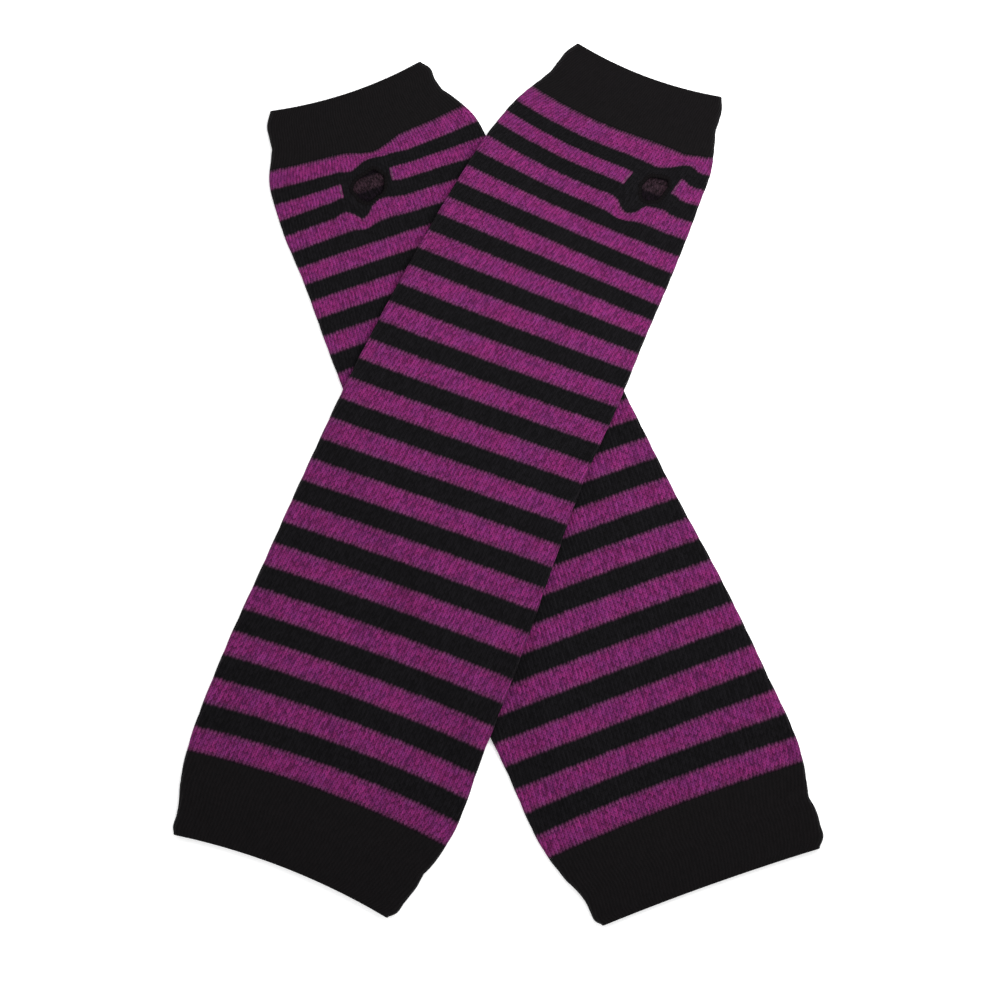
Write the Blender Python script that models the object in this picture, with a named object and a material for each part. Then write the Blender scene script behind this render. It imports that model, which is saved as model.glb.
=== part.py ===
"""A pair of knitted arm warmers, laid flat and crossed, one over the other.

Each warmer is one circular-knit tube pressed flat, so its front lies on its back: a doubled black welt
at the arm, a striped sleeve with a thumb hole through its front, and a doubled black welt at the hand.
The under warmer lies flat on the surface; the over warmer rises over it and comes down on both sides.

Units are metres, +Z is up, and the surface that the pair rests on is z = 0. Each warmer has a frame of
its own, carried by an empty: +Y runs from the arm hem to the hand hem, and x is across the tube.
"""

from collections import namedtuple
from math import cos, pi, radians, sin

import bmesh
import bpy
from mathutils import Matrix, Vector

MM = 0.001

SLEEVE_WALL = 1.2 * MM  # one layer of single jersey, with its floats
CUFF_WALL = 1.5 * MM  # a welt is knitted double and turned in
INNER_GAP = 0.6 * MM  # between the front and the back of the flat tube
SEAM = 0.3 * MM  # clearance between two pieces that are joined by a row of stitches
EDGE_CORD = 1.1 * MM  # radius of the rolled edging round a thumb hole

SPANS_ACROSS = 10  # facets across a layer, from fold to fold
FOLD_STEPS = 4  # facets round a fold
SLEEVE_STEP = 7.0 * MM  # spacing of the rings along the sleeve that lies over the other
FLAT_STEP = 22.0 * MM  # spacing along a sleeve that lies flat
CUFF_STEP = 9.0 * MM
CORD_POINTS = 20

DRAPE_CLEARANCE = 0.3 * MM  # between the two warmers where they cross
DRAPE_MARGIN = 9.0 * MM  # how far past the lower tube's fold the upper one stays up
DRAPE_RAMP = 16.0 * MM  # and how far it then takes to come down

# One course of stitches across the flat tube, in mm: where it meets the left fold, how far along the
# centre line it lies, and where it meets the right fold.
Course = namedtuple("Course", "left_x left_y mid_y right_x right_y")

# The tube of each warmer, from its arm hem to its hand hem.
OVER_COURSES = [
    Course(-45.0, -6.0, 0.0, 42.5, -1.5),
    Course(-48.5, 9.0, 15.0, 47.0, 14.5),
    Course(-53.0, 25.5, 32.5, 51.0, 32.5),
    Course(-55.5, 64.0, 69.5, 49.5, 71.0),
    Course(-55.5, 101.0, 106.0, 47.5, 109.0),
    Course(-55.5, 136.0, 141.0, 44.5, 144.5),
    Course(-55.0, 170.0, 174.5, 42.0, 178.0),
    Course(-53.5, 203.0, 206.5, 42.0, 209.0),
    Course(-51.0, 234.0, 236.5, 41.0, 237.5),
    Course(-48.0, 262.5, 263.5, 40.5, 263.5),
    Course(-43.5, 289.0, 288.0, 39.0, 291.0),
    Course(-37.0, 306.5, 305.0, 36.5, 310.5),
    Course(-32.5, 318.0, 316.5, 33.5, 321.5),
    Course(-29.0, 328.5, 328.5, 31.0, 332.0),
]
UNDER_COURSES = [
    Course(-46.5, 4.0, 1.0, 42.0, -4.0),
    Course(-49.5, 19.0, 16.0, 45.5, 10.5),
    Course(-53.0, 36.0, 34.0, 49.5, 28.5),
    Course(-53.5, 74.0, 70.5, 51.0, 67.0),
    Course(-53.5, 111.0, 107.5, 50.5, 103.0),
    Course(-52.0, 146.0, 143.0, 48.5, 138.5),
    Course(-51.0, 179.5, 176.5, 47.5, 172.0),
    Course(-49.5, 211.0, 208.0, 46.5, 203.5),
    Course(-47.5, 242.0, 238.0, 44.5, 233.5),
    Course(-45.0, 270.0, 266.5, 42.5, 261.0),
    Course(-43.5, 296.0, 292.5, 41.0, 287.0),
    Course(-39.0, 315.5, 309.0, 38.5, 307.0),
    Course(-34.0, 325.0, 319.0, 34.0, 317.0),
    Course(-29.0, 335.0, 329.0, 31.5, 328.5),
]
ARM_SEAM_ROW = 2  # the course where the arm welt ends and the stripes begin
HAND_SEAM_ROW = 11  # the course where the stripes end and the hand welt begins

# A thumb hole in the frame of its warmer, in mm: the centre, and the half width and half height of
# the centre line of its edging.
ThumbHole = namedtuple("ThumbHole", "x y half_width half_height")
OVER_THUMB = ThumbHole(19.6, 289.0, 7.0, 6.0)
UNDER_THUMB = ThumbHole(-9.0, 293.5, 7.4, 5.8)

# Where each arm hem's middle lies, in mm, and how far the tube is turned from straight up.
Place = namedtuple("Place", "x y turn")
OVER_PLACE = Place(-78.8, -144.7, -24.2)
UNDER_PLACE = Place(82.6, -150.8, 25.0)

PURPLE = (0.168, 0.020, 0.112)
BLACK = (0.009, 0.008, 0.010)
EDGING_BLACK = (0.007, 0.007, 0.009)


def clear_scene():
    for thing in list(bpy.data.objects):
        bpy.data.objects.remove(thing)


def new_collection(name):
    collection = bpy.data.collections.new(name)
    bpy.context.scene.collection.children.link(collection)
    return collection


def yarn_material(name, colour, roughness):
    material = bpy.data.materials.new(name)
    material.use_nodes = True
    shader = material.node_tree.nodes["Principled BSDF"]
    shader.inputs["Base Color"].default_value = (*colour, 1.0)
    shader.inputs["Roughness"].default_value = roughness
    shader.inputs["Metallic"].default_value = 0.0
    return material


def smooth_step(value):
    """0 below 0, 1 above 1, and a soft S between them."""
    value = min(max(value, 0.0), 1.0)
    return value * value * (3.0 - 2.0 * value)


def course_at(courses, row):
    """The course at a row number that may lie between two rows, on a smooth curve through them."""
    last = len(courses) - 1
    low = min(int(row), last - 1)
    part = row - low
    before, start = courses[max(low - 1, 0)], courses[low]
    end, after = courses[low + 1], courses[min(low + 2, last)]
    values = []
    for p0, p1, p2, p3 in zip(before, start, end, after):
        leave, arrive = (p2 - p0) / 2.0, (p3 - p1) / 2.0
        bend = 2.0 * (p1 - p2) + leave + arrive
        swing = 3.0 * (p2 - p1) - 2.0 * leave - arrive
        values.append(p1 + part * (leave + part * (swing + part * bend)))
    return Course(*(value * MM for value in values))


def along_course(course, x):
    """How far along the tube the course lies at x: the parabola through its fold, middle and fold."""
    left_slope = (course.left_y - course.mid_y) / course.left_x
    right_slope = (course.right_y - course.mid_y) / course.right_x
    curve = (right_slope - left_slope) / (course.right_x - course.left_x)
    return course.mid_y + x * (left_slope + curve * (x - course.left_x))


def course_ring(course, wall, inset, lift):
    """The section of the flat tube along one course, inset from its outer face by nothing or the wall."""
    middle = wall + INNER_GAP / 2.0
    radius = middle - inset
    low_x, high_x = course.left_x + middle, course.right_x - middle
    spread = [low_x + (high_x - low_x) * i / SPANS_ACROSS for i in range(SPANS_ACROSS + 1)]
    back = [(x, -radius) for x in spread]
    front = [(x, radius) for x in reversed(spread)]
    right_fold, left_fold = [], []
    for i in range(1, FOLD_STEPS):
        turn = pi * i / FOLD_STEPS
        right_fold.append((high_x + radius * sin(turn), -radius * cos(turn)))
        left_fold.append((low_x - radius * sin(turn), radius * cos(turn)))
    ring = []
    for x, height in back + right_fold + front + left_fold:
        y = along_course(course, x)
        ring.append(Vector((x, y, middle + height + lift(x, y))))
    return ring


def wall_mesh(name, outer_rings, inner_rings):
    """A tube with a wall: up its outer rings, back down its inner rings, and closed on itself."""
    tube = bmesh.new()
    rings = outer_rings + inner_rings[::-1]
    loops = [[tube.verts.new(point) for point in ring] for ring in rings]
    count = len(rings[0])
    for near, far in zip(loops, loops[1:] + loops[:1]):
        for i in range(count):
            j = (i + 1) % count
            tube.faces.new((near[i], near[j], far[j], far[i]))
    bmesh.ops.recalc_face_normals(tube, faces=tube.faces)
    mesh = bpy.data.meshes.new(name)
    tube.to_mesh(mesh)
    tube.free()
    mesh.shade_smooth()
    mesh.set_sharp_from_angle(angle=radians(50.0))
    return mesh


def knit_tube(name, courses, rows, gaps, wall, step, lift, material):
    """A stretch of the flat tube between two rows of its table, drawn back at each end by its gap."""
    first, last = rows
    length = (courses[last].mid_y - courses[first].mid_y) * MM
    rows_per_metre = (last - first) / length
    start = first + gaps[0] * rows_per_metre
    end = last - gaps[1] * rows_per_metre
    count = max(round(length / step), 2)
    stations = [course_at(courses, start + (end - start) * i / count) for i in range(count + 1)]
    outer_rings = [course_ring(course, wall, 0.0, lift) for course in stations]
    inner_rings = [course_ring(course, wall, wall, lift) for course in stations]
    piece = bpy.data.objects.new(name, wall_mesh(name, outer_rings, inner_rings))
    piece.data.materials.append(material)
    return piece


def hole_outline(hole, grow):
    """Points round a thumb hole, grown outwards from the centre line of its edging."""
    wide, high = hole.half_width * MM + grow, hole.half_height * MM + grow
    turns = [2.0 * pi * i / CORD_POINTS for i in range(CORD_POINTS)]
    return [(hole.x * MM + wide * cos(turn), hole.y * MM + high * sin(turn)) for turn in turns]


def thumb_cutter(name, hole):
    """A block through the front layer only: from the middle of the inner gap to above the cloth."""
    low, high = SLEEVE_WALL + INNER_GAP / 2.0, 3.0 * SLEEVE_WALL + INNER_GAP
    block = bmesh.new()
    rim = [block.verts.new((x, y, low)) for x, y in hole_outline(hole, EDGE_CORD + SEAM)]
    floor = block.faces.new(rim)
    raised = bmesh.ops.extrude_face_region(block, geom=[floor])["geom"]
    tops = [item for item in raised if isinstance(item, bmesh.types.BMVert)]
    bmesh.ops.translate(block, verts=tops, vec=(0.0, 0.0, high - low))
    bmesh.ops.recalc_face_normals(block, faces=block.faces)
    mesh = bpy.data.meshes.new(name)
    block.to_mesh(mesh)
    block.free()
    cutter = bpy.data.objects.new(name, mesh)
    cutter.hide_render = True
    cutter.display_type = "WIRE"
    return cutter


def thumb_edging(name, hole, material):
    """The rolled black edging: a round cord on a closed line, just above the tube's back layer."""
    curve = bpy.data.curves.new(name, "CURVE")
    curve.dimensions = "3D"
    curve.bevel_depth = EDGE_CORD
    curve.bevel_resolution = 2
    line = curve.splines.new("POLY")
    points = hole_outline(hole, 0.0)
    line.points.add(len(points) - 1)
    height = SLEEVE_WALL + SEAM + EDGE_CORD
    for point, (x, y) in zip(line.points, points):
        point.co = (x, y, height, 1.0)
    line.use_cyclic_u = True
    line.use_smooth = True
    curve.materials.append(material)
    return bpy.data.objects.new(name, curve)


def place_matrix(place):
    return Matrix.Translation((place.x * MM, place.y * MM, 0.0)) @ Matrix.Rotation(radians(place.turn), 4, "Z")


def lies_flat(_x, _y):
    return 0.0


def rise_over(courses, own_place, other_place):
    """How much a tube in own_place is lifted where it crosses the tube that lies in other_place."""
    to_other = place_matrix(other_place).inverted() @ place_matrix(own_place)
    height = 2.0 * SLEEVE_WALL + INNER_GAP + DRAPE_CLEARANCE
    outline = [course_at(courses, row / 2.0) for row in range(2 * len(courses) - 1)]

    def fold_at(y, side):
        points = [(getattr(c, side + "_y"), getattr(c, side + "_x")) for c in outline]
        for (y0, x0), (y1, x1) in zip(points, points[1:]):
            if y <= y1:
                break
        return x0 + (x1 - x0) * (y - y0) / (y1 - y0)

    def lift(x, y):
        point = to_other @ Vector((x, y, 0.0))
        outside = max(fold_at(point.y, "left") - point.x, point.x - fold_at(point.y, "right"))
        return height * smooth_step(1.0 - (outside - DRAPE_MARGIN) / DRAPE_RAMP)

    return lift


def build_warmer(prefix, courses, hole, place, lift, sleeve_step, parts, cutters, materials):
    carrier = bpy.data.objects.new(prefix + "_place", None)
    carrier.location = (place.x * MM, place.y * MM, 0.0)
    carrier.rotation_euler = (0.0, 0.0, radians(place.turn))
    carrier.empty_display_size = 0.05
    parts.objects.link(carrier)
    half = SEAM / 2.0
    arm = (0, ARM_SEAM_ROW)
    middle = (ARM_SEAM_ROW, HAND_SEAM_ROW)
    hand = (HAND_SEAM_ROW, len(courses) - 1)
    stripes, black, edging = materials
    arm_cuff = knit_tube(
        prefix + "_arm_cuff", courses, arm, (0.0, half), CUFF_WALL, CUFF_STEP, lift, black
    )
    sleeve = knit_tube(
        prefix + "_sleeve", courses, middle, (half, half), SLEEVE_WALL, sleeve_step, lift, stripes
    )
    hand_cuff = knit_tube(
        prefix + "_hand_cuff", courses, hand, (half, 0.0), CUFF_WALL, CUFF_STEP, lift, black
    )
    cutter = thumb_cutter(prefix + "_thumb_cutter", hole)
    cut = sleeve.modifiers.new("thumb hole", "BOOLEAN")
    cut.operation = "DIFFERENCE"
    cut.solver = "EXACT"
    cut.object = cutter
    cutters.objects.link(cutter)
    cutter.parent = carrier
    for piece in (arm_cuff, sleeve, hand_cuff, thumb_edging(prefix + "_thumb_edge", hole, edging)):
        parts.objects.link(piece)
        piece.parent = carrier


def build():
    clear_scene()
    parts = new_collection("arm_warmers")
    cutters = new_collection("arm_warmer_cutters")
    materials = (
        yarn_material("purple_striped_knit", PURPLE, 0.9),
        yarn_material("black_welt_knit", BLACK, 0.88),
        yarn_material("black_thumb_edging", EDGING_BLACK, 0.85),
    )
    over_lift = rise_over(UNDER_COURSES, OVER_PLACE, UNDER_PLACE)
    build_warmer(
        "under", UNDER_COURSES, UNDER_THUMB, UNDER_PLACE, lies_flat, FLAT_STEP, parts, cutters, materials
    )
    build_warmer(
        "over", OVER_COURSES, OVER_THUMB, OVER_PLACE, over_lift, SLEEVE_STEP, parts, cutters, materials
    )
    bpy.context.view_layer.update()


build()
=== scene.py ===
from collections import namedtuple
from math import pi, radians

import bmesh
import bpy
import numpy as np
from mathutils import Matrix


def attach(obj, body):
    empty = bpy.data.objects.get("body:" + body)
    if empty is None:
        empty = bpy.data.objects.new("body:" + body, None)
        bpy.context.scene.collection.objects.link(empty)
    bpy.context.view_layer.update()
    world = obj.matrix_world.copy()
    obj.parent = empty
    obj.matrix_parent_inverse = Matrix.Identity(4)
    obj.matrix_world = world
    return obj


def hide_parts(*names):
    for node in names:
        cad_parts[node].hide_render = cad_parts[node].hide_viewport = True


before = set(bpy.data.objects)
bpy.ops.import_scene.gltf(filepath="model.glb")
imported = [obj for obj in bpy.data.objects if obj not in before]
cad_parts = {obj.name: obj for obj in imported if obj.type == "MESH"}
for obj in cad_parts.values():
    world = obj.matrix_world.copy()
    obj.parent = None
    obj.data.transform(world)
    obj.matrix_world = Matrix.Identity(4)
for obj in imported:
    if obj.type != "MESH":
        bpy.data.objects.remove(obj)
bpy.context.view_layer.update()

# ---- Striped sleeves ------------------------------------------------------------------------
# Each arm warmer is one circular-knit tube of plain jersey, 144 stitches round, purple and black
# yarn changed every eight courses. Pressed flat, its front lies on its back with a soft fold at
# each side. One sleeve lies on the table and the other rises over it where they cross.

MM = 0.001
WALES_ROUND = 144  # stitches round the tube, so columns of stitches
COLUMNS_PER_WALE = 4  # points across each column of stitches
WALES_BEFORE_PATCH = 40  # the mesh starts this many columns before the patch at the thumb hole
STRIPE_COURSES = 8
SLEEVE_COURSES = (-0.5, 280.7)  # first and last course of the sleeve, just inside the two welts
SLEEVE_ROWS = 132
SLEEVE_WALL = 1.2  # mm, one layer of jersey
INNER_GAP = 0.6  # mm, between the front and the back of the flat tube
WALE_GROOVE = 0.26  # mm, how deep the groove between two columns of stitches is
FOLD_BULGE = 0.7  # mm, how much the cloth stands up beside a fold
FOLD_BULGE_WIDTH = 5.0  # mm
BACK_TROUGH = 0.30  # mm, how far the shallow troughs of the back stand off the table
HEMS = (-28.0, 301.0)  # the courses at the arm's and the hand's hem, where the tube ends

# One course across the flat tube, in mm: its number, where it meets the left fold, how far along
# the centre line it lies, and where it meets the right fold.
Course = namedtuple("Course", "number left_x left_y mid_y right_x right_y")

# How a thumb hole pulls the courses near it along the tube, in mm: the column of stitches,
# counted from the start of the black-yarn patch, and the shift of the courses below the hole, of
# its two lips, of the courses above it, and of the seam with the hand welt.
Pull = namedtuple("Pull", "wale below lower_lip upper_lip above seam")
PULLED_COURSES = (236, 248, 260, 272, 280, 291)
SLIT_COURSE = 260

# Where the arm hem's middle lies, in mm, and how far the tube is turned, in degrees; the left end
# of the thumb patch and its columns; the slit's first and last column; how far the columns lean
# sideways per mm along the tube, at the arm and at the hand.
Warmer = namedtuple(
    "Warmer", "name x y turn courses patch_x patch_wales slit pulls arm_lean hand_lean creases"
)

# A soft crease in the front of the cloth, in mm and degrees: middle, half length, direction,
# half width, and height, which is negative for a trough.
Crease = namedtuple("Crease", "x y half_length turn half_width height")

OVER = Warmer(
    name="over",
    x=-78.8,
    y=-144.7,
    turn=-24.2,
    courses=[
        Course(-28, -44.8, -5.9, 0.0, 42.2, -1.5),
        Course(-26.8, -45.6, -4.6, 1.4, 43.6, -0.1),
        Course(-22, -46.5, 1.0, 7.0, 45.4, 5.8),
        Course(-16, -48.6, 8.2, 14.2, 47.2, 13.2),
        Course(-12, -50.3, 12.9, 18.8, 47.7, 18.4),
        Course(-9, -51.2, 16.2, 22.4, 48.8, 21.8),
        Course(0, -53.0, 25.5, 32.5, 51.0, 32.5),
        Course(32, -55.5, 64.0, 69.5, 49.5, 71.0),
        Course(64, -55.5, 101.0, 106.0, 47.5, 109.0),
        Course(96, -55.5, 136.0, 141.0, 44.5, 144.5),
        Course(128, -55.0, 170.0, 174.3, 42.0, 177.8),
        Course(160, -53.5, 202.6, 206.0, 42.0, 209.3),
        Course(192, -51.0, 233.6, 235.9, 41.0, 237.8),
        Course(224, -48.0, 262.3, 262.8, 40.5, 263.7),
        Course(256, -43.5, 288.8, 286.9, 39.0, 291.1),
        Course(280, -37.2, 306.2, 304.5, 36.6, 310.5),
        Course(284, -34.9, 310.4, 309.0, 35.2, 314.8),
        Course(288, -33.0, 314.6, 313.8, 33.5, 319.4),
        Course(293, -31.6, 319.9, 319.2, 32.8, 324.2),
        Course(298, -30.2, 325.0, 324.4, 31.9, 328.8),
        Course(301, -28.2, 328.4, 327.4, 30.3, 332.2),
    ],
    patch_x=10.3,
    patch_wales=15,
    slit=(4, 14),
    pulls=[
        Pull(-5, 0.0, 0.0, 0.0, 0.0, 0.0),
        Pull(-1.5, 0.2, -0.2, -0.2, -0.3, -0.1),
        Pull(1, -0.5, -0.7, -0.7, -0.7, -0.3),
        Pull(4, -3.7, -1.2, -1.2, -1.1, -0.7),
        Pull(5.2, -4.2, -5.0, 2.2, -1.3, -0.8),
        Pull(8, -2.9, -7.4, 4.0, -0.7, -1.2),
        Pull(10.5, 0.6, -6.6, 4.4, 0.4, -1.8),
        Pull(12.8, 1.1, -4.2, 3.6, 1.7, -1.7),
        Pull(14, 1.1, 1.0, 1.0, 2.0, -1.7),
        Pull(15.4, 1.2, 1.9, 1.9, 2.2, -1.6),
        Pull(19, 0.3, 0.5, 0.5, 0.4, -1.3),
        Pull(25, 0.0, 0.0, 0.0, 0.0, 0.0),
    ],
    arm_lean=0.12,
    hand_lean=0.25,
    creases=[
        Crease(-34.0, 58.0, 30.0, 62.0, 4.5, -0.30),
        Crease(18.0, 46.0, 24.0, 100.0, 5.0, 0.25),
        Crease(-20.0, 128.0, 34.0, 74.0, 6.0, -0.25),
        Crease(24.0, 182.0, 30.0, 96.0, 5.0, -0.28),
        Crease(-30.0, 232.0, 24.0, 70.0, 4.5, 0.25),
        Crease(2.0, 276.0, 16.0, 28.0, 2.6, 0.35),
        Crease(31.0, 281.0, 9.0, 150.0, 2.2, 0.30),
        Crease(12.0, 297.0, 10.0, 140.0, 2.4, -0.30),
    ],
)
UNDER = Warmer(
    name="under",
    x=82.6,
    y=-150.8,
    turn=25.0,
    courses=[
        Course(-28, -45.6, 4.2, 0.9, 41.6, -4.0),
        Course(-26.5, -46.8, 5.7, 2.8, 43.6, -2.2),
        Course(-22, -47.3, 10.8, 8.0, 45.2, 3.2),
        Course(-18, -47.4, 15.2, 12.6, 45.9, 7.6),
        Course(-15, -48.2, 18.8, 16.0, 46.1, 10.9),
        Course(-11, -50.0, 23.5, 20.8, 45.9, 15.6),
        Course(-7, -51.3, 28.2, 25.6, 47.4, 20.6),
        Course(0, -53.0, 36.0, 34.0, 49.5, 28.5),
        Course(32, -53.5, 74.0, 70.5, 51.0, 67.0),
        Course(64, -53.5, 111.0, 107.5, 50.5, 103.0),
        Course(96, -52.0, 146.0, 143.0, 48.5, 138.5),
        Course(128, -51.0, 179.5, 176.5, 47.5, 172.0),
        Course(160, -49.5, 211.0, 208.0, 46.5, 203.5),
        Course(192, -47.5, 242.4, 237.5, 44.5, 232.6),
        Course(224, -45.0, 270.2, 265.1, 42.5, 259.0),
        Course(256, -43.5, 296.0, 291.5, 41.0, 285.9),
        Course(280, -39.0, 314.5, 307.4, 38.2, 306.1),
        Course(285, -36.4, 318.7, 312.3, 35.6, 311.3),
        Course(289, -34.6, 322.4, 316.9, 33.2, 316.0),
        Course(292, -33.8, 325.8, 320.8, 32.4, 319.6),
        Course(298, -32.0, 332.0, 326.4, 32.3, 325.4),
        Course(301, -29.4, 335.2, 328.9, 30.4, 328.2),
    ],
    patch_x=-17.6,
    patch_wales=16,
    slit=(2, 15),
    pulls=[
        Pull(-5, 0.0, 0.0, 0.0, 0.0, 0.0),
        Pull(1, -0.3, -0.3, -0.3, -0.4, -0.2),
        Pull(2, -1.8, -1.0, -1.0, -0.8, -0.3),
        Pull(3.2, -3.5, -5.4, 1.2, -1.1, -0.5),
        Pull(5, -2.9, -7.6, 2.8, -0.6, -1.0),
        Pull(9, 1.2, -7.0, 4.2, 1.2, -2.4),
        Pull(12.8, 1.5, -4.6, 4.6, 1.3, -2.9),
        Pull(15, 0.6, 0.5, 0.5, 0.8, -2.6),
        Pull(18, 0.0, 0.2, 0.2, 0.8, -1.6),
        Pull(23, 0.0, 0.0, 0.0, 0.0, 0.0),
    ],
    arm_lean=0.15,
    hand_lean=0.11,
    creases=[
        Crease(30.0, 60.0, 26.0, 110.0, 5.0, -0.28),
        Crease(-26.0, 52.0, 24.0, 84.0, 5.0, 0.25),
        Crease(12.0, 96.0, 30.0, 70.0, 6.0, -0.22),
        Crease(-28.0, 250.0, 20.0, 60.0, 4.0, -0.25),
        Crease(-26.0, 281.0, 12.0, 20.0, 2.4, 0.30),
        Crease(10.0, 300.0, 12.0, 160.0, 2.6, 0.30),
        Crease(6.0, 283.0, 12.0, 150.0, 2.8, -0.30),
    ],
)


def smooth_step(value):
    value = np.clip(value, 0.0, 1.0)
    return value * value * (3.0 - 2.0 * value)


def smooth_through(knots, values, at):
    """The columns of a table at any places between its rows, on a smooth curve through them."""
    knots = np.asarray(knots, float)
    values = np.asarray(values, float)
    slopes = np.gradient(values, knots, axis=0)
    low = np.clip(np.searchsorted(knots, at, side="right") - 1, 0, len(knots) - 2)
    span = (knots[low + 1] - knots[low])[..., None]
    part = (np.clip(at, knots[0], knots[-1]) - knots[low])[..., None] / span
    start, end = values[low], values[low + 1]
    leave, arrive = slopes[low] * span, slopes[low + 1] * span
    bend = 2.0 * (start - end) + leave + arrive
    swing = 3.0 * (end - start) - 2.0 * leave - arrive
    return start + part * (leave + part * (swing + part * bend))


def course_lines(warmer, numbers):
    """left_x, left_y, mid_y, right_x and right_y of these courses, each shaped to meet columns."""
    table = np.array(warmer.courses)
    return [column[:, None] for column in smooth_through(table[:, 0], table[:, 1:], numbers).T]


def along_course(lines, x):
    """How far along the tube each course lies at x: the parabola through its folds and middle."""
    left_x, left_y, mid_y, right_x, right_y = lines
    left_slope = (left_y - mid_y) / left_x
    right_slope = (right_y - mid_y) / right_x
    curve = (right_slope - left_slope) / (right_x - left_x)
    return mid_y + x * (left_slope + curve * (x - left_x))


def round_length(lines, wall):
    """The length of a course all round the flat tube."""
    left_x, _, _, right_x, _ = lines
    radius = wall + INNER_GAP / 2.0
    return 2.0 * (right_x - left_x - 2.0 * radius) + 2.0 * pi * radius


def spiral(warmer, numbers):
    """How many columns of stitches the cloth has turned round the tube by each course."""
    steps = np.linspace(HEMS[0] - 2.0, HEMS[1] + 2.0, 668)
    lines = course_lines(warmer, steps)
    rise = np.gradient(lines[2][:, 0], steps)
    along = np.clip(steps / 280.0, 0.0, 1.0)
    lean = warmer.arm_lean + (warmer.hand_lean - warmer.arm_lean) * along**3
    pitch = round_length(lines, SLEEVE_WALL)[:, 0] / WALES_ROUND
    turned_wales = np.cumsum(lean * rise / pitch) * (steps[1] - steps[0])
    return np.interp(numbers, steps, turned_wales)


def first_patch_wale(warmer):
    """The column of stitches, counted from the left fold at the arm, where the patch begins."""
    lines = course_lines(warmer, np.array([float(SLIT_COURSE)]))
    radius = SLEEVE_WALL + INNER_GAP / 2.0
    reach = warmer.patch_x - lines[0][0, 0] - radius + pi / 2.0 * radius
    wale = reach / round_length(lines, SLEEVE_WALL)[0, 0] * WALES_ROUND
    return round(wale - spiral(warmer, SLIT_COURSE))


def hole_pull(warmer, numbers, wales, side):
    """How far the thumb hole pulls each point along the tube. side is -1 on the arm's side of the
    slit and 1 on the hand's side."""
    table = np.array(warmer.pulls)
    pulls = smooth_through(table[:, 0], table[:, 1:], wales)
    still = np.zeros_like(wales)
    below, lower_lip, upper_lip, above, seam = np.moveaxis(pulls, -1, 0)
    if side < 0:
        knots, shifts = PULLED_COURSES[:3], [still, below, lower_lip]
    else:
        knots, shifts = PULLED_COURSES[2:], [upper_lip, above, seam, still]
    knots = np.array(knots, float)
    at = np.clip(numbers, knots[0], knots[-1])[:, None] + still
    low = np.clip(np.searchsorted(knots, at, side="right") - 1, 0, len(knots) - 2)
    part = smooth_step((at - knots[low]) / (knots[low + 1] - knots[low]))
    shifts = np.stack(shifts)
    start = np.take_along_axis(shifts, low[None], 0)[0]
    end = np.take_along_axis(shifts, low[None] + 1, 0)[0]
    return start + (end - start) * part


def turned(x, y, angle):
    """x and y turned anticlockwise by an angle in degrees."""
    c, s = np.cos(radians(angle)), np.sin(radians(angle))
    return c * x - s * y, s * x + c * y


def outside_of(warmer, x, y):
    """How far a place on the table, in mm, lies outside a warmer's folds; negative between them."""
    own_x, own_y = turned(x - warmer.x, y - warmer.y, -warmer.turn)
    lines = course_lines(warmer, np.linspace(*HEMS, 120))
    left_x, left_y, _, right_x, right_y = (line[:, 0] for line in lines)
    past_left = np.interp(own_y, left_y, left_x) - own_x
    past_right = own_x - np.interp(own_y, right_y, right_x)
    return np.maximum(past_left, past_right)


LIFT = 4.1  # mm, the under warmer's thickness beside a fold, and a little air
LIFT_MARGIN = 2.0  # mm past the under warmer's fold before the over warmer starts down
LIFT_RAMP = 13.0  # mm that it then takes to reach the table


def lift(warmer, x, y):
    """How far the other warmer underneath raises this one, in mm."""
    if warmer is UNDER:
        return np.zeros_like(x)
    outside = outside_of(UNDER, x, y)
    return LIFT * smooth_step(1.0 - (outside - LIFT_MARGIN) / LIFT_RAMP)


def front_relief(warmer, x, y):
    """Soft unevenness and creases of the front, in mm."""
    relief = 0.10 * np.sin(x / 9.0 + y / 23.0 + 0.6) * np.sin(y / 14.0 - x / 31.0)
    relief += 0.08 * np.sin(y / 6.1 + 1.3 * np.sin(x / 12.0)) * np.sin(x / 17.0 + 2.0)
    for crease in warmer.creases:
        along, across = turned(x - crease.x, y - crease.y, -crease.turn)
        across = across + 0.012 * along**2 / max(crease.half_width, 1.0)
        fade = np.exp(-((along / crease.half_length) ** 2) - (across / crease.half_width) ** 2)
        relief += crease.height * fade
    return relief


def back_relief(x, y):
    """How far shallow troughs lift the underside off the table, in mm."""
    waves = np.sin(x / 13.0 + 0.7 * np.sin(y / 30.0)) * np.sin(y / 19.0 + x / 40.0 + 1.0)
    return BACK_TROUGH * np.clip(waves - 0.35, 0.0, 1.0)


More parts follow.
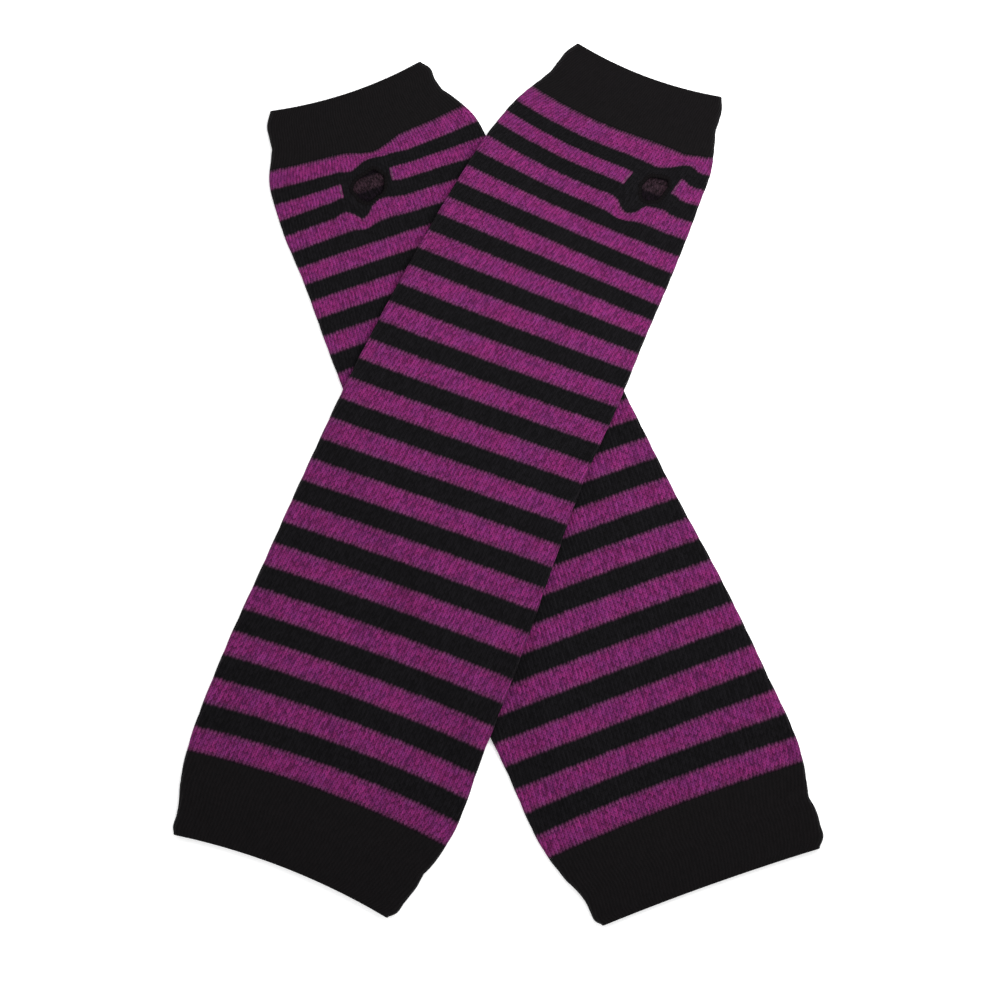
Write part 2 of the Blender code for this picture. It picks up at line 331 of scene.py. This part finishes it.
def tube_points(warmer, numbers, wales, wall, inset, side=-1, end_shift=0.0):
    """Points of the flat tube in metres, a row for each course and a column for each place round
    it, counted in stitches. inset is how far below the outer face they lie, in mm."""
    lines = course_lines(warmer, numbers)
    left_x, right_x = lines[0], lines[3]
    radius = wall + INNER_GAP / 2.0
    quarter = pi / 2.0 * radius
    straight = right_x - left_x - 2.0 * radius
    whole = 2.0 * straight + 4.0 * quarter
    around = (wales[None, :] + spiral(warmer, numbers)[:, None]) / WALES_ROUND % 1.0 * whole
    on_back = around > whole / 2.0
    around = np.where(on_back, whole - around, around)
    left_turn = np.clip(around / quarter, 0.0, 1.0) * pi / 2.0
    right_turn = np.clip((around - quarter - straight) / quarter, 0.0, 1.0) * pi / 2.0
    depth = radius - inset
    x = left_x + radius + np.clip(around - quarter, 0.0, straight)
    x = x + depth * (np.sin(right_turn) - np.cos(left_turn))
    height = depth * np.sin(left_turn) * np.cos(right_turn) * np.where(on_back, -1.0, 1.0)
    pull = hole_pull(warmer, numbers, wales[None, :] - first_patch_wale(warmer) + 0.0 * x, side)
    y = along_course(lines, x) + pull + end_shift
    front_share = np.clip(0.5 + height / (2.0 * radius), 0.0, 1.0)
    from_fold = np.minimum(x - left_x, right_x - x)
    bulge = FOLD_BULGE * np.exp(-((from_fold / FOLD_BULGE_WIDTH - 0.5) ** 2) * 2.0)
    z = radius + height + front_share * (bulge + front_relief(warmer, x, y))
    z = z + (1.0 - front_share) * back_relief(x, y) * smooth_step(from_fold / 4.0 - 0.5)
    world_x, world_y = turned(x, y, warmer.turn)
    world_x, world_y = world_x + warmer.x, world_y + warmer.y
    z = z + lift(warmer, world_x, world_y)
    return np.stack([world_x, world_y, z], axis=-1) * MM


def wales_round(per_wale):
    """Places round the tube, counted in columns of stitches from the patch."""
    return np.arange(WALES_ROUND * per_wale) / per_wale - WALES_BEFORE_PATCH


def stitch_groove(wales, depth):
    """How deep the outer face lies at each place round the tube: a groove between two columns."""
    return depth * (0.5 + 0.5 * np.cos(2.0 * pi * wales))


def face_grid(ids, flip=False):
    """Quads over a grid of point numbers whose last column joins its first."""
    beside = np.roll(ids, -1, axis=1)
    corners = [ids[:-1], beside[:-1], beside[1:], ids[1:]]
    if flip:
        corners = corners[::-1]
    return np.stack(corners, axis=-1).reshape(-1, 4).tolist()


def face_knit(numbers, wales, step, flip=False):
    """The stitch coordinates of the same quads: columns across, courses along."""
    low, high = numbers[:-1, None], numbers[1:, None]
    left, right = wales[None, :], wales[None, :] + step
    corners = [(left, low), (right, low), (right, high), (left, high)]
    if flip:
        corners = corners[::-1]
    grid = [np.stack(np.broadcast_arrays(*corner), axis=-1) for corner in corners]
    return np.stack(grid, axis=2).reshape(-1, 2)


def lip_faces(outer, inner, starts, is_end):
    """Joins the outer and the inner face along an edge: four outer steps to each inner one."""
    faces = []
    count = COLUMNS_PER_WALE
    for start in starts:
        rim = [int(outer[(start * count + i) % len(outer)]) for i in range(count + 1)]
        far, near = int(inner[(start + 1) % len(inner)]), int(inner[start])
        faces.append(rim + [far, near] if is_end else [near, far] + rim[::-1])
    return faces


def new_mesh(name, points, faces, knit):
    """A smooth mesh whose map "knit" gives each corner's column and course."""
    mesh = bpy.data.meshes.new(name)
    mesh.from_pydata(points.reshape(-1, 3).tolist(), [], faces)
    layer = mesh.uv_layers.new(name="knit")
    layer.data.foreach_set("uv", knit.astype(np.float32).ravel())
    mesh.shade_smooth()
    mesh.update()
    return mesh


def drop_loose(mesh):
    """Removes the points along the slit's row that both halves of the sleeve share."""
    work = bmesh.new()
    work.from_mesh(mesh)
    loose = [point for point in work.verts if not point.link_faces]
    bmesh.ops.delete(work, geom=loose, context="VERTS")
    work.to_mesh(mesh)
    work.free()


def sleeve_mesh(warmer):
    """Outer and inner face of the sleeve, joined at both ends and along the thumb hole's slit."""
    first, last = SLEEVE_COURSES
    below_rows = round(SLEEVE_ROWS * (SLIT_COURSE - first) / (last - first))
    below = np.linspace(first, SLIT_COURSE, below_rows)
    above = np.linspace(SLIT_COURSE, last, SLEEVE_ROWS - below_rows)
    origin = first_patch_wale(warmer)
    points, faces, knit, rims = [], [], [], {}
    used = outer_count = 0
    for face, per_wale in (("outer", COLUMNS_PER_WALE), ("inner", 1)):
        is_inner = face == "inner"
        wales = origin + wales_round(per_wale)
        depth = SLEEVE_WALL if is_inner else stitch_groove(wales, WALE_GROOVE)[None, :]
        halves = []
        for numbers, side in ((below, -1), (above, 1)):
            half = tube_points(warmer, numbers, wales, SLEEVE_WALL, depth, side=side)
            halves.append(used + np.arange(half[..., 0].size).reshape(half.shape[:2]))
            points.append(half.reshape(-1, 3))
            used += halves[-1].size
        lower_ids, upper_ids = halves
        slit = np.zeros(len(wales), bool)
        start, end = ((WALES_BEFORE_PATCH + wale) * per_wale for wale in warmer.slit)
        slit[start + 1:end] = True
        upper_ids[0, ~slit] = lower_ids[-1, ~slit]
        for ids, numbers in ((lower_ids, below), (upper_ids, above)):
            faces += face_grid(ids, is_inner)
            knit.append(face_knit(numbers, wales - origin, 1.0 / per_wale, is_inner))
        rims[face] = (lower_ids[0], lower_ids[-1], upper_ids[0], upper_ids[-1])
        if not is_inner:
            outer_count = len(faces)
    face_count = len(faces)
    all_round = range(WALES_ROUND)
    slit_wales = [WALES_BEFORE_PATCH + wale for wale in range(*warmer.slit)]
    for rim, starts, is_end in ((0, all_round, False), (1, slit_wales, True),
                                (2, slit_wales, False), (3, all_round, True)):
        faces += lip_faces(rims["outer"][rim], rims["inner"][rim], starts, is_end)
    # The cloth's edges are one stitch of the reverse all along, dark with the shade painted into
    # the reverse's colour.
    edge_corners = sum(len(face) for face in faces[face_count:])
    knit.append(np.full((edge_corners, 2), (7.5, SLIT_COURSE)))
    mesh = new_mesh(warmer.name + "_sleeve", np.concatenate(points), faces, np.concatenate(knit))
    is_reverse = np.ones(len(faces), np.int32)
    is_reverse[:outer_count] = 0
    mesh.materials.append(None)
    mesh.materials.append(None)
    mesh.polygons.foreach_set("material_index", is_reverse)
    drop_loose(mesh)
    return mesh


def linear(hex_colour):
    """An sRGB hex colour as linear red, green, blue and alpha."""
    parts = [int(hex_colour[i:i + 2], 16) / 255.0 for i in (1, 3, 5)]
    return (*(p / 12.92 if p <= 0.04045 else ((p + 0.055) / 1.055) ** 2.4 for p in parts), 1.0)


def add(tree, kind, *sources, **settings):
    """Adds a node with its settings. The sources, values or what to link from, go to its sockets
    in order, or one dictionary gives them by name or number."""
    made = tree.nodes.new("ShaderNode" + kind)
    for name, value in settings.items():
        setattr(made, name, value)
    by_name = sources and isinstance(sources[0], dict)
    for socket, source in (sources[0] if by_name else dict(enumerate(sources))).items():
        if isinstance(source, bpy.types.Node):
            source = source.outputs[0]
        if isinstance(source, bpy.types.NodeSocket):
            tree.links.new(source, made.inputs[socket])
        else:
            made.inputs[socket].default_value = source
    return made


def new_material(name):
    """An empty material and its node tree."""
    material = bpy.data.materials.new(name)
    material.use_nodes = True
    material.node_tree.nodes.clear()
    return material, material.node_tree


Stitch = namedtuple("Stitch", "wale course column ridge lean leg vee cell")


def stitch_field(tree):
    """What every knit here shares, from the map that counts stitches: 1 across is one column, 1.0
    to 1.5 mm, and 1 along is one course, 1 mm. ridge is 1 on a column's crest and 0 in its groove,
    lean the reverse, leg 1 on the middle of a stitch's legs, vee the rise and fall of its V, and
    cell the number of each leg."""
    place = add(tree, "SeparateXYZ", add(tree, "UVMap", uv_map="knit"))
    wale, course = place.outputs[0], place.outputs[1]
    column = add(tree, "Math", wale, operation="FLOOR")
    across = add(tree, "Math", wale, operation="FRACT")
    offset = add(tree, "Math", across, 0.5, operation="SUBTRACT")
    distance = add(tree, "Math", offset, operation="ABSOLUTE")
    lean = add(tree, "Math", distance, 2.0, operation="MULTIPLY")
    ridge = add(tree, "Math", 1.0, lean, operation="SUBTRACT")
    slope = add(tree, "Math", lean, -0.75, course, operation="MULTIPLY_ADD")
    angle = add(tree, "Math", slope, 2.0 * pi, operation="MULTIPLY")
    wave = add(tree, "Math", angle, operation="COSINE")
    vee = add(tree, "Math", wave, 0.5, 0.5, operation="MULTIPLY_ADD")
    double = add(tree, "Math", lean, 2.0, -1.0, operation="MULTIPLY_ADD")
    from_leg = add(tree, "Math", double, operation="ABSOLUTE")
    leg = add(tree, "Math", 1.0, from_leg, operation="SUBTRACT")
    half_columns = add(tree, "Math", wale, 2.0, operation="MULTIPLY")
    cell = add(tree, "CombineXYZ", add(tree, "Math", half_columns, operation="FLOOR"),
               add(tree, "Math", slope, operation="FLOOR"))
    return Stitch(wale, course, column, ridge, lean, leg, vee, cell)


# Fibre that stands up from the yarn. A real one is 0.02 mm thick and too fine to show, so it is
# drawn as tufts of about 0.4 mm.
TUFTS_PER_MM = 2.6


def finish_yarn(tree, colour, shade, height, fuzz, relief, strength, roughness, sheen, tint):
    """Ends a yarn's material: its colour times its shade, tufts of fibre added to its height by
    the share fuzz, all of it relief mm high, and a matt surface with that fibre's faint sheen."""
    shaded = add(tree, "CombineColor", shade, shade, shade)
    base = add(tree, "Mix", {0: 1.0, 6: colour, 7: shaded}, data_type="RGBA",
               blend_type="MULTIPLY").outputs[2]
    fibre = add(tree, "TexNoise", {"Vector": add(tree, "TexCoord").outputs["Object"],
                                   "Scale": TUFTS_PER_MM / MM, "Detail": 3.0, "Roughness": 0.7})
    height = add(tree, "Math", fibre, fuzz, height, operation="MULTIPLY_ADD")
    bump = add(tree, "Bump", {"Strength": strength, "Distance": relief * MM, "Height": height})
    shader = add(tree, "BsdfPrincipled", {
        "Base Color": base, "Roughness": roughness, "IOR": 1.5, "Specular IOR Level": 0.06,
        "Sheen Weight": sheen, "Sheen Roughness": 0.5, "Sheen Tint": linear(tint),
        "Normal": bump})
    add(tree, "OutputMaterial", shader)


DRIFT_PER_STITCH = 0.11  # slow drifts of hue, each about 9 stitches or 11 mm across

# Where a stripe's purple starts and ends in its repeat of 16 courses, and how far, in courses,
# each column's crest and its own unevenness move that edge.
PURPLE_START, START_CREST, START_UNEVEN = 3.95, -0.2, 0.25
PURPLE_END, END_CREST, END_UNEVEN = 11.75, 0.4, 0.35
PATCH_HALF_COURSES = 6.5  # the patch of black yarn reaches this far along from the slit


def jersey(name, patch_wales, purple, black, tip, groove, flecks, sheen):
    """Plain jersey in heathered acrylic yarn: to the eye matt and a little fuzzy, each column of
    stitches a ridge with painted shade in the groove beside it and a painted highlight on its legs,
    and stripes whose edges step from stitch to stitch. purple gives the yarn's redder and bluer
    ends, and tip the stray ends on it. groove is how dark the painted shade in the grooves is."""
    material, tree = new_material(name)
    knit = stitch_field(tree)
    noise = add(tree, "TexWhiteNoise", {"W": knit.column}, noise_dimensions="1D")
    own = add(tree, "SeparateColor", noise.outputs["Color"])

    # The stripe: purple from 4 to 12 courses in each repeat of 16.
    repeat = 2.0 * STRIPE_COURSES
    shifted = add(tree, "Math", knit.course, STRIPE_COURSES / 2.0, operation="ADD")
    turns = add(tree, "Math", shifted, repeat, operation="DIVIDE")
    part = add(tree, "Math", turns, operation="FRACT")
    band = add(tree, "Math", part, repeat, operation="MULTIPLY")
    start = add(tree, "Math", knit.ridge, START_CREST, PURPLE_START, operation="MULTIPLY_ADD")
    start = add(tree, "Math", own.outputs[0], START_UNEVEN, start, operation="MULTIPLY_ADD")
    end = add(tree, "Math", knit.ridge, END_CREST, PURPLE_END, operation="MULTIPLY_ADD")
    end = add(tree, "Math", own.outputs[1], END_UNEVEN, end, operation="MULTIPLY_ADD")
    above_start = add(tree, "Math", band, start, operation="SUBTRACT")
    below_end = add(tree, "Math", end, band, operation="SUBTRACT")
    inside = add(tree, "Math", above_start, below_end, operation="MINIMUM")
    stripe = add(tree, "Math", inside, 0.5, operation="ADD", use_clamp=True)

    # The patch of black yarn round the thumb hole, which takes the place of part of one stripe.
    past_left = add(tree, "Math", knit.wale, 0.0, operation="GREATER_THAN")
    before_right = add(tree, "Math", knit.wale, float(patch_wales), operation="LESS_THAN")
    in_wales = add(tree, "Math", past_left, before_right, operation="MULTIPLY")
    in_courses = add(tree, "Math", knit.course, SLIT_COURSE, PATCH_HALF_COURSES,
                     operation="COMPARE")
    patch = add(tree, "Math", in_wales, in_courses, operation="MULTIPLY")
    off_patch = add(tree, "Math", 1.0, patch, operation="SUBTRACT")
    is_purple = add(tree, "Math", stripe, off_patch, operation="MULTIPLY")

    # Heathered yarn: each leg of a stitch a little redder or bluer, with slow drifts.
    legs = add(tree, "TexWhiteNoise", {"Vector": knit.cell}, noise_dimensions="2D")
    fleck = add(tree, "SeparateColor", legs.outputs["Color"])
    drift_at = add(tree, "CombineXYZ", knit.wale, knit.course)
    drift = add(tree, "TexNoise", {"Vector": drift_at, "Scale": DRIFT_PER_STITCH, "Detail": 2.0})
    warm = add(tree, "Math", drift, 2.0, -1.0, operation="MULTIPLY_ADD")
    warm = add(tree, "Math", warm, fleck.outputs[1], operation="ADD", use_clamp=True)
    yarn = add(tree, "Mix", {0: warm, 6: linear(purple[0]), 7: linear(purple[1])},
               data_type="RGBA").outputs[2]

    # Beside a stripe's edge the loops are darker, with pale stray ends, most at the patch's ends.
    inner = add(tree, "Math", inside, 0.55, operation="MULTIPLY")
    near_edge = add(tree, "Math", 1.0, inner, operation="SUBTRACT", use_clamp=True)
    half_patch = patch_wales / 2.0
    at_patch = add(tree, "Math", knit.wale, half_patch, half_patch + 0.8, operation="COMPARE")
    yarn_ends = add(tree, "Math", at_patch, in_courses, operation="MULTIPLY")
    yarn_ends = add(tree, "Math", yarn_ends, 1.6, operation="MULTIPLY")
    near_edge = add(tree, "Math", near_edge, yarn_ends, operation="MAXIMUM")
    tips = add(tree, "Math", near_edge, knit.ridge, operation="MULTIPLY")
    tips = add(tree, "Math", tips, 0.35, operation="MULTIPLY")
    yarn = add(tree, "Mix", {0: tips, 6: yarn, 7: linear(tip)}, data_type="RGBA").outputs[2]
    edge = add(tree, "Math", near_edge, 1.0, operation="MINIMUM")
    dim = add(tree, "Math", edge, -0.38, 1.0, operation="MULTIPLY_ADD")
    dimmed = add(tree, "CombineColor", dim, dim, dim)
    yarn = add(tree, "Mix", {0: 1.0, 6: yarn, 7: dimmed}, data_type="RGBA",
               blend_type="MULTIPLY").outputs[2]
    colour = add(tree, "Mix", {0: is_purple, 6: linear(black), 7: yarn},
                 data_type="RGBA").outputs[2]

    # Painted shade and light: dark grooves, bright legs, each stitch's V lit with shade between one
    # stitch and the next; then the yarn's own uneven stitches and columns.
    deep = add(tree, "Math", knit.lean, 2.0, operation="POWER")
    shade = add(tree, "Math", deep, -groove, 0.90, operation="MULTIPLY_ADD")
    shade = add(tree, "Math", knit.leg, 0.36, shade, operation="MULTIPLY_ADD")
    for source, amount, least in ((knit.vee, 0.50, 0.73),
                                  (fleck.outputs[0], flecks, 1.0 - flecks / 2.0),
                                  (own.outputs[2], 0.16, 0.92)):
        share = add(tree, "Math", source, amount, least, operation="MULTIPLY_ADD")
        shade = add(tree, "Math", shade, share, operation="MULTIPLY")
    height = add(tree, "Math", knit.vee, 0.30, operation="MULTIPLY")
    height = add(tree, "Math", knit.ridge, 0.55, height, operation="MULTIPLY_ADD")
    finish_yarn(tree, colour, shade, height, fuzz=0.25, relief=0.35, strength=0.7,
                roughness=0.92, sheen=sheen, tint=FIBRE_SHEEN)
    return material


PURPLE_YARN = ("#611a4b", "#581c4d")  # the heathered yarn's redder and bluer ends
BLACK_YARN = "#0a090b"
YARN_TIP = "#6b4f60"  # where stray black fibres and a stretched loop grey the purple
# The reverse's dull purple, with black floats, is painted far darker with shade, as inside the tube
# little light reaches the yarn.
REVERSE_PURPLE_IN_SHADE = ("#20141a", "#23181e")  # inside the tube little light reaches the yarn
REVERSE_BLACK = "#0b060b"
FIBRE_SHEEN = "#bdb0ba"


def finish_cloth(piece, node):
    """Rides the cloth on the part and hides the plain solid that it stands for."""
    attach(piece, "root")
    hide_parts(node)


def place_piece(name, mesh):
    """Puts a mesh in the scene as a piece of this name."""
    piece = bpy.data.objects.new(name, mesh)
    bpy.context.scene.collection.objects.link(piece)
    return piece


for warmer in (UNDER, OVER):
    sleeve = place_piece(warmer.name + "_sleeve_knit", sleeve_mesh(warmer))
    sleeve.data.materials[0] = jersey(
        warmer.name + "_striped_jersey", patch_wales=warmer.patch_wales, purple=PURPLE_YARN,
        black=BLACK_YARN, tip=YARN_TIP, groove=0.36, flecks=0.9, sheen=0.05
    )
    sleeve.data.materials[1] = jersey(
        warmer.name + "_jersey_reverse", patch_wales=0, purple=REVERSE_PURPLE_IN_SHADE,
        black=REVERSE_BLACK, tip=REVERSE_PURPLE_IN_SHADE[1], groove=0.35, flecks=1.5, sheen=0.02
    )
    finish_cloth(sleeve, warmer.name + "_sleeve")

# ---- Welts ----------------------------------------------------------------------------------
# The cuffs at the arm and at the hand are welts in black yarn: knitted on from the sleeve, then
# turned in at the hem and linked to the inside, so that they are double from the hem to that line.

WELT_WALL = 1.5  # mm, where the welt is double
WELT_ROWS = 58  # courses of points along the outer face
LINING_ROWS = 18  # and along the inner face
HEM_STEPS = 6  # round the hem's fold
RIB_GROOVE = 0.20  # mm
LINK_DEPTH = 0.16  # mm, the trough along the linked line
LINK_WIDTH = 0.9  # courses
WELT_BLACK = "#0b090a"
WELT_SHEEN = "#cfcfd4"

# A welt: its name and CAD node, its hem course, the course where it meets the sleeve, the course
# where its turned-in edge is linked.
Welt = namedtuple("Welt", "name node hem join link")
WELTS = [
    Welt("arm_welt", "arm_cuff", HEMS[0], -0.57, -11.5),
    Welt("hand_welt", "hand_cuff", HEMS[1], 280.77, 288.5),
]


def welt_mesh(warmer, welt):
    """One closed wall: along the outer face to the hem, round its fold, back inside, and joined."""
    outwards = 1.0 if welt.hem > welt.join else -1.0
    wales = first_patch_wale(warmer) + wales_round(COLUMNS_PER_WALE)
    outer = np.linspace(welt.join, welt.hem, WELT_ROWS)
    inner = np.linspace(welt.hem, welt.join, LINING_ROWS)
    turn = pi * np.arange(1, HEM_STEPS) / HEM_STEPS
    hem = np.full(len(turn), welt.hem)
    numbers = np.concatenate([outer, hem, inner])[:, None]
    # The share of the wall that each row lies below the outer face, and how far it is drawn back.
    share = np.concatenate([0.0 * outer, (1.0 - np.cos(turn)) / 2.0, 1.0 + 0.0 * inner])[:, None]
    drawn = np.abs(numbers - welt.join) / abs(welt.hem - welt.join)
    drawn[len(outer):-len(inner), 0] = 1.0 - np.sin(turn)
    doubled = smooth_step((np.abs(numbers - welt.join) / abs(welt.link - welt.join) - 0.6) / 0.4)
    wall = SLEEVE_WALL + (WELT_WALL - SLEEVE_WALL) * doubled
    linked = LINK_DEPTH * np.exp(-((numbers - welt.link) / LINK_WIDTH) ** 2)
    depth = share * wall + np.clip(1.0 - 2.0 * share, 0.0, 1.0) * (
        linked + stitch_groove(wales, RIB_GROOVE)[None, :]
    )
    shift = -outwards * wall / 2.0 * drawn
    side = 1 if outwards > 0 else -1
    numbers = numbers[:, 0]
    points = tube_points(warmer, numbers, wales, wall, depth, side=side, end_shift=shift)
    rows = np.arange(points[..., 0].size).reshape(points.shape[:2])
    rows = np.vstack([rows, rows[:1]])
    numbers = np.append(numbers, numbers[0])
    flip = outwards < 0
    knit = face_knit(numbers, wales_round(COLUMNS_PER_WALE), 1.0 / COLUMNS_PER_WALE, flip)
    return new_mesh(warmer.name + "_" + welt.name, points, face_grid(rows, flip), knit)


def welt_knit(name):
    """Black acrylic welt with elastic laid in: to the eye matt and close, with fine ribs along the
    tube, painted shade in their grooves and a faint painted light on their crests."""
    material, tree = new_material(name)
    knit = stitch_field(tree)
    legs = add(tree, "TexWhiteNoise", {"Vector": knit.cell}, noise_dimensions="2D")
    # Painted shade in the grooves and painted light on the crests and on each stitch's V; the noise
    # of the legs is the yarn's own unevenness.
    deep = add(tree, "Math", knit.lean, 1.6, operation="POWER")
    shade = add(tree, "Math", deep, -0.35, 1.1, operation="MULTIPLY_ADD")
    for source, amount, least in ((knit.vee, 0.25, 0.85), (legs.outputs[0], 0.36, 0.82)):
        share = add(tree, "Math", source, amount, least, operation="MULTIPLY_ADD")
        shade = add(tree, "Math", shade, share, operation="MULTIPLY")
    height = add(tree, "Math", knit.vee, 0.25, operation="MULTIPLY")
    height = add(tree, "Math", knit.ridge, 0.5, height, operation="MULTIPLY_ADD")
    finish_yarn(tree, linear(WELT_BLACK), shade, height, fuzz=0.25, relief=0.3, strength=0.6,
                roughness=0.9, sheen=0.04, tint=WELT_SHEEN)
    return material


black_welt = welt_knit("black_ribbed_welt")
for warmer in (UNDER, OVER):
    for welt in WELTS:
        piece = place_piece(warmer.name + "_" + welt.name, welt_mesh(warmer, welt))
        piece.data.materials.append(black_welt)
        node = warmer.name + "_" + welt.node
        finish_cloth(piece, node)

# ---- Thumb-hole edgings -----------------------------------------------------------------------
# The slit for the thumb is bound all round in black yarn: the cloth's edge rolls in on itself and
# is overcast, which makes a soft cord along both lips.

EDGING_RADIUS = 0.8  # mm
EDGING_INSET = 0.35  # mm, how far inside the cloth's edge the cord's middle lies
EDGING_POINTS = 168
EDGING_SIDES = 12
OVERCAST_STITCHES = 34
EDGING_BLACK = "#080607"
OVERCAST_RIDGE = 0.10  # of the radius, how far each overcast stitch stands up
CORNER_ROUNDING = 4  # times that the line is smoothed, so that it turns softly at the slit's ends


def edging_line(warmer):
    """A closed line along the two lips of the slit, drawn in a little, in metres, and the way it
    runs at each point."""
    origin = first_patch_wale(warmer)
    wales = np.linspace(origin + warmer.slit[0], origin + warmer.slit[1], 60)
    middle = SLEEVE_WALL / 2.0
    at_slit = np.array([float(SLIT_COURSE)])
    lower = tube_points(warmer, at_slit, wales, SLEEVE_WALL, middle, side=-1)[0]
    upper = tube_points(warmer, at_slit, wales, SLEEVE_WALL, middle, side=1)[0]
    loop = np.concatenate([lower, upper[-2:0:-1]])
    closed = np.vstack([loop, loop[:1]])
    walked = np.append(0.0, np.cumsum(np.linalg.norm(np.diff(closed, axis=0), axis=1)))
    at = np.linspace(0.0, walked[-1], EDGING_POINTS, endpoint=False)
    loop = np.stack([np.interp(at, walked, closed[:, i]) for i in range(3)], axis=-1)
    for _ in range(CORNER_ROUNDING):
        loop = (np.roll(loop, 1, axis=0) + 2.0 * loop + np.roll(loop, -1, axis=0)) / 4.0
    forward = np.roll(loop, -1, axis=0) - np.roll(loop, 1, axis=0)
    forward /= np.linalg.norm(forward, axis=1)[:, None]
    inwards = np.stack([-forward[:, 1], forward[:, 0], 0.0 * forward[:, 0]], axis=-1)
    return loop + EDGING_INSET * MM * inwards, forward


def edging_mesh(warmer):
    """A closed cord along that line, with a slanted ridge for each overcast stitch."""
    line, forward = edging_line(warmer)
    up = np.array([0.0, 0.0, 1.0])
    sideways = np.cross(forward, up)
    sideways /= np.linalg.norm(sideways, axis=1)[:, None]
    along = np.arange(EDGING_POINTS) / EDGING_POINTS
    turn = 2.0 * pi * np.arange(EDGING_SIDES) / EDGING_SIDES
    wrap = np.sin(2.0 * pi * OVERCAST_STITCHES * along[:, None] + turn[None, :])
    radius = EDGING_RADIUS * (1.0 + OVERCAST_RIDGE * wrap) * MM
    points = line[:, None, :] + radius[..., None] * (
        np.cos(turn)[None, :, None] * sideways[:, None, :] + np.sin(turn)[None, :, None] * up
    )
    rows = np.arange(EDGING_POINTS * EDGING_SIDES).reshape(EDGING_POINTS, EDGING_SIDES)
    rows = np.vstack([rows, rows[:1]])
    numbers = np.arange(EDGING_POINTS + 1) * OVERCAST_STITCHES / EDGING_POINTS
    sides = np.arange(EDGING_SIDES) / EDGING_SIDES
    knit = face_knit(numbers, sides, 1.0 / EDGING_SIDES, flip=True)
    return new_mesh(warmer.name + "_thumb_edging", points, face_grid(rows, flip=True), knit)


def overcast_yarn(name):
    """Black acrylic yarn wound round the edge: to the eye a matt cord, with painted shade between
    one stitch and the next. On its map 1 along is one stitch, 1.1 to 1.2 mm."""
    material, tree = new_material(name)
    place = add(tree, "SeparateXYZ", add(tree, "UVMap", uv_map="knit"))
    slant = add(tree, "Math", place.outputs[0], place.outputs[1], operation="ADD")
    angle = add(tree, "Math", slant, 2.0 * pi, operation="MULTIPLY")
    wave = add(tree, "Math", angle, operation="SINE")
    shade = add(tree, "Math", wave, 0.25, 0.95, operation="MULTIPLY_ADD")
    finish_yarn(tree, linear(EDGING_BLACK), shade, 0.0, fuzz=1.0, relief=0.25, strength=0.6,
                roughness=0.9, sheen=0.0, tint="#ffffff")
    return material


edging_yarn = overcast_yarn("black_overcast_yarn")
for warmer in (UNDER, OVER):
    edging = place_piece(warmer.name + "_thumb_edging", edging_mesh(warmer))
    edging.data.materials.append(edging_yarn)
    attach(edging, "root")
    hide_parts(warmer.name + "_thumb_edge")

# ---- Table and light --------------------------------------------------------------------------
# A plain white table, lit so brightly and evenly that it burns out to white. A big soft box low at
# the left of the hands' end lights the cloth across its folds, and a small one hangs over the
# hands' end, so that the light falls off towards the arms' end.

bpy.ops.mesh.primitive_plane_add(size=6.0, location=(0.0, 0.0, -0.0002))
table = bpy.context.object
table.name = "table"
# Matt white laminate. The little light of its own keeps shadows on it as faint as on a light table.
white, tree = new_material("white_table")
shader = add(tree, "BsdfPrincipled", {
    "Base Color": linear("#fafafa"), "Roughness": 0.8, "Emission Color": linear("#ffffff"),
    "Emission Strength": 0.3})
add(tree, "OutputMaterial", shader)
table.data.materials.append(white)

world = bpy.data.worlds.new("even_light")
world.use_nodes = True
sky = world.node_tree.nodes["Background"]
sky.inputs["Color"].default_value = linear("#ffffff")
sky.inputs["Strength"].default_value = 0.95
bpy.context.scene.world = world

for name, size, watts, place, turn in (
    ("big_soft_box", 1.0, 56.0, (-1.18, 0.68, 0.63), (65.0, 0.0, 60.0)),
    ("small_soft_box", 0.3, 2.45, (0.13, 0.18, 0.38), (0.0, 0.0, 0.0)),
):
    box = bpy.data.lights.new(name, "AREA")
    box.shape = "SQUARE"
    box.size = size
    box.energy = watts
    soft_box = bpy.data.objects.new(name, box)
    soft_box.location = place
    soft_box.rotation_euler = [radians(angle) for angle in turn]
    bpy.context.scene.collection.objects.link(soft_box)

# ---- Camera -----------------------------------------------------------------------------------
# It looks straight down from far off through a long lens, so that nothing leans.

VIEW_WIDTH = 0.3767  # metres of table across the view
CAMERA_HEIGHT = 3.0  # metres
VIEW_CENTRE = (0.0012, -0.0058)  # metres
camera_data = bpy.data.cameras.new("camera")
camera_data.sensor_width = 36.0
camera_data.lens = camera_data.sensor_width * CAMERA_HEIGHT / VIEW_WIDTH
camera_data.clip_end = 20.0
camera = bpy.data.objects.new("camera", camera_data)
camera.location = (*VIEW_CENTRE, CAMERA_HEIGHT)
bpy.context.scene.collection.objects.link(camera)
bpy.context.scene.camera = camera
bpy.context.scene.view_settings.view_transform = "Standard"
